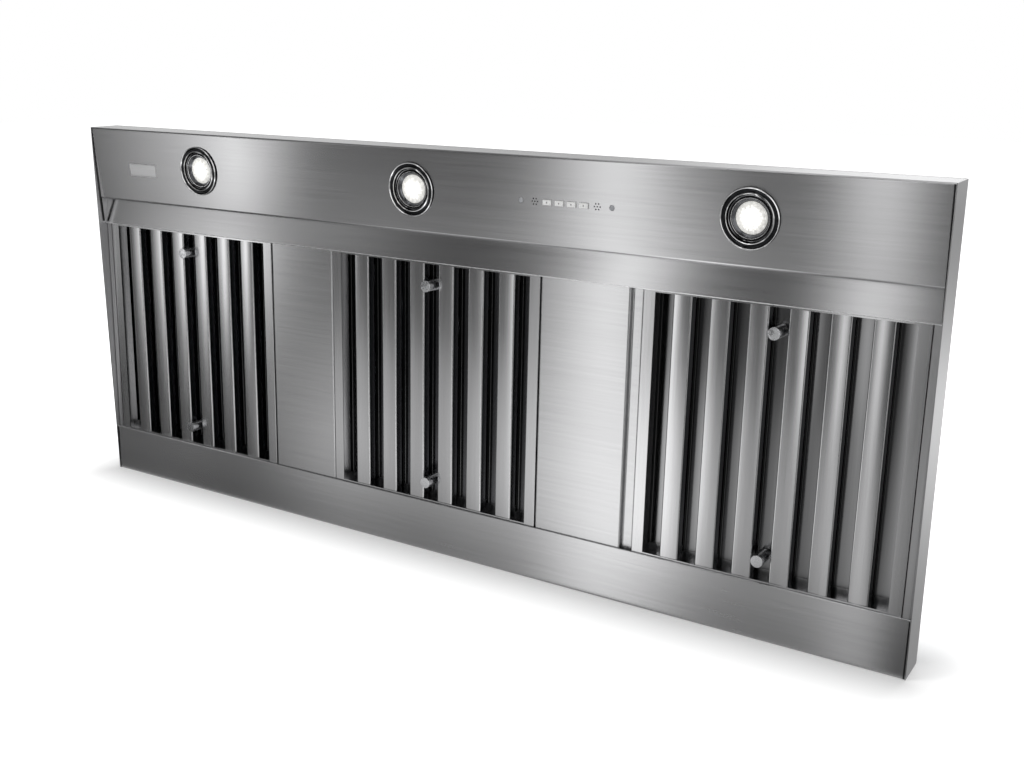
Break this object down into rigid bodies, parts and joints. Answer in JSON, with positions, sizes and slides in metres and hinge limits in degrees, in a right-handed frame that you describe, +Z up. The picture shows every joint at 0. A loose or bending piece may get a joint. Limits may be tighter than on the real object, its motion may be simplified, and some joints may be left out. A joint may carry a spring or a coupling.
{
  "type": "range hood insert",
  "caption": "Wide stainless range hood insert: sloping control panel with recessed lights and push buttons, sliding baffle filters with post knobs, blower and round duct collar with damper.",
  "frame": {"origin": "centre of the rear wall that it stands on: middle of its width and of its whole depth, at floor level", "axes": "+X to the right as one faces the filters, +Z up from the rear wall to the front edge with the control panel, +Y into the hood towards the duct. Hung over a cooker, -Y points down and +Z points to the cook."},
  "size_m": [1.3302, 0.3022, 0.5715],
  "materials": {
    "brushed_stainless": "brushed lengthwise",
    "baffle_steel": "brushed along the baffles",
    "polished_steel": "polished",
    "spring_steel": "dark spring temper",
    "galvanised_steel": "galvanised sheet",
    "zinc_screw": "bright zinc",
    "button_metal": "satin",
    "lamp_glass": "lit lamp glass",
    "lens_left": "clear grey lens",
    "lens_right": "smoked lens",
    "circuit_board": "solder mask",
    "black_plastic": "moulded",
    "motor_paint": "black enamel"
  },
  "bodies": {
    "button_1": {"button_1": "button_metal"},
    "button_2": {"button_2": "button_metal"},
    "button_3": {"button_3": "button_metal"},
    "button_4": {"button_4": "button_metal"},
    "insert": {"control_board": "circuit_board", "control_cover": "black_plastic", "control_panel": "brushed_stainless", "damper_spindle": "galvanised_steel", "duct_transition": "galvanised_steel", "filter_centre_springs": "spring_steel", "filter_left_springs": "spring_steel", "filter_right_springs": "spring_steel", "front_filter_rail": "brushed_stainless", "housing_shell": "galvanised_steel", "housing_top": "galvanised_steel", "indicator_left": "lens_left", "indicator_right": "lens_right", "junction_box": "galvanised_steel", "junction_box_lid": "galvanised_steel", "light_centre_can": "galvanised_steel", "light_centre_lamp": "lamp_glass", "light_centre_ring": "polished_steel", "light_centre_trim": "polished_steel", "light_left_can": "galvanised_steel", "light_left_lamp": "lamp_glass", "light_left_ring": "polished_steel", "light_left_trim": "polished_steel", "light_right_can": "galvanised_steel", "light_right_lamp": "lamp_glass", "light_right_ring": "polished_steel", "light_right_trim": "polished_steel", "motor": "motor_paint", "motor_bracket": "galvanised_steel", "rear_band": "brushed_stainless", "rear_filter_rail": "brushed_stainless", "scroll_left": "galvanised_steel", "scroll_right": "galvanised_steel", "side_ledge_left": "brushed_stainless", "side_ledge_right": "brushed_stainless", "spacer_left": "brushed_stainless", "spacer_right": "brushed_stainless", "tray_pan": "brushed_stainless"},
    "damper_flap_left": {"damper_flap_left": "galvanised_steel"},
    "damper_flap_right": {"damper_flap_right": "galvanised_steel"},
    "filter_centre": {"filter_centre_frame": "baffle_steel", "filter_centre_front_baffles": "baffle_steel", "filter_centre_knobs": "polished_steel", "filter_centre_rear_baffles": "baffle_steel"},
    "filter_left": {"filter_left_frame": "baffle_steel", "filter_left_front_baffles": "baffle_steel", "filter_left_knobs": "polished_steel", "filter_left_rear_baffles": "baffle_steel"},
    "filter_right": {"filter_right_frame": "baffle_steel", "filter_right_front_baffles": "baffle_steel", "filter_right_knobs": "polished_steel", "filter_right_rear_baffles": "baffle_steel"},
    "rotor": {"impeller_left": "galvanised_steel", "impeller_right": "galvanised_steel", "rotor_shaft": "polished_steel"}
  },
  "joints": [
    {"name": "filter_left_slide", "type": "slide", "parent": "insert", "child": "filter_left", "axis": [0, -0.0286, -0.9996], "range_m": [0, 0.012], "stiffness_N_per_m": 1500, "springref_m": -0.02, "deforming": ["filter_left_springs"]},
    {"name": "filter_centre_slide", "type": "slide", "parent": "insert", "child": "filter_centre", "axis": [0, -0.0286, -0.9996], "range_m": [0, 0.012], "stiffness_N_per_m": 1500, "springref_m": -0.02, "deforming": ["filter_centre_springs"]},
    {"name": "filter_right_slide", "type": "slide", "parent": "insert", "child": "filter_right", "axis": [0, -0.0286, -0.9996], "range_m": [0, 0.012], "stiffness_N_per_m": 1500, "springref_m": -0.02, "deforming": ["filter_right_springs"]},
    {"name": "button_1_press", "type": "slide", "parent": "insert", "child": "button_1", "axis": [0, 0.9983, 0.0577], "range_m": [0, 0.0015], "stiffness_N_per_m": 600, "springref_m": -0.0008},
    {"name": "button_2_press", "type": "slide", "parent": "insert", "child": "button_2", "axis": [0, 0.9983, 0.0577], "range_m": [0, 0.0015], "stiffness_N_per_m": 600, "springref_m": -0.0008},
    {"name": "button_3_press", "type": "slide", "parent": "insert", "child": "button_3", "axis": [0, 0.9983, 0.0577], "range_m": [0, 0.0015], "stiffness_N_per_m": 600, "springref_m": -0.0008},
    {"name": "button_4_press", "type": "slide", "parent": "insert", "child": "button_4", "axis": [0, 0.9983, 0.0577], "range_m": [0, 0.0015], "stiffness_N_per_m": 600, "springref_m": -0.0008},
    {"name": "rotor_spin", "type": "hinge", "parent": "insert", "child": "rotor", "pos_m": [0, -0.01026, 0.3125], "axis": [1, 0, 0], "continuous": true},
    {"name": "damper_left_swing", "type": "hinge", "parent": "insert", "child": "damper_flap_left", "pos_m": [0, 0.12104, 0.2715], "axis": [0, 0, -1], "range_deg": [0, 80], "stiffness_Nm_per_rad": 0.02, "springref_deg": -28.65},
    {"name": "damper_right_swing", "type": "hinge", "parent": "insert", "child": "damper_flap_right", "pos_m": [0, 0.12104, 0.2715], "axis": [0, 0, 1], "range_deg": [0, 80], "stiffness_Nm_per_rad": 0.02, "springref_deg": -28.65}
  ]
}
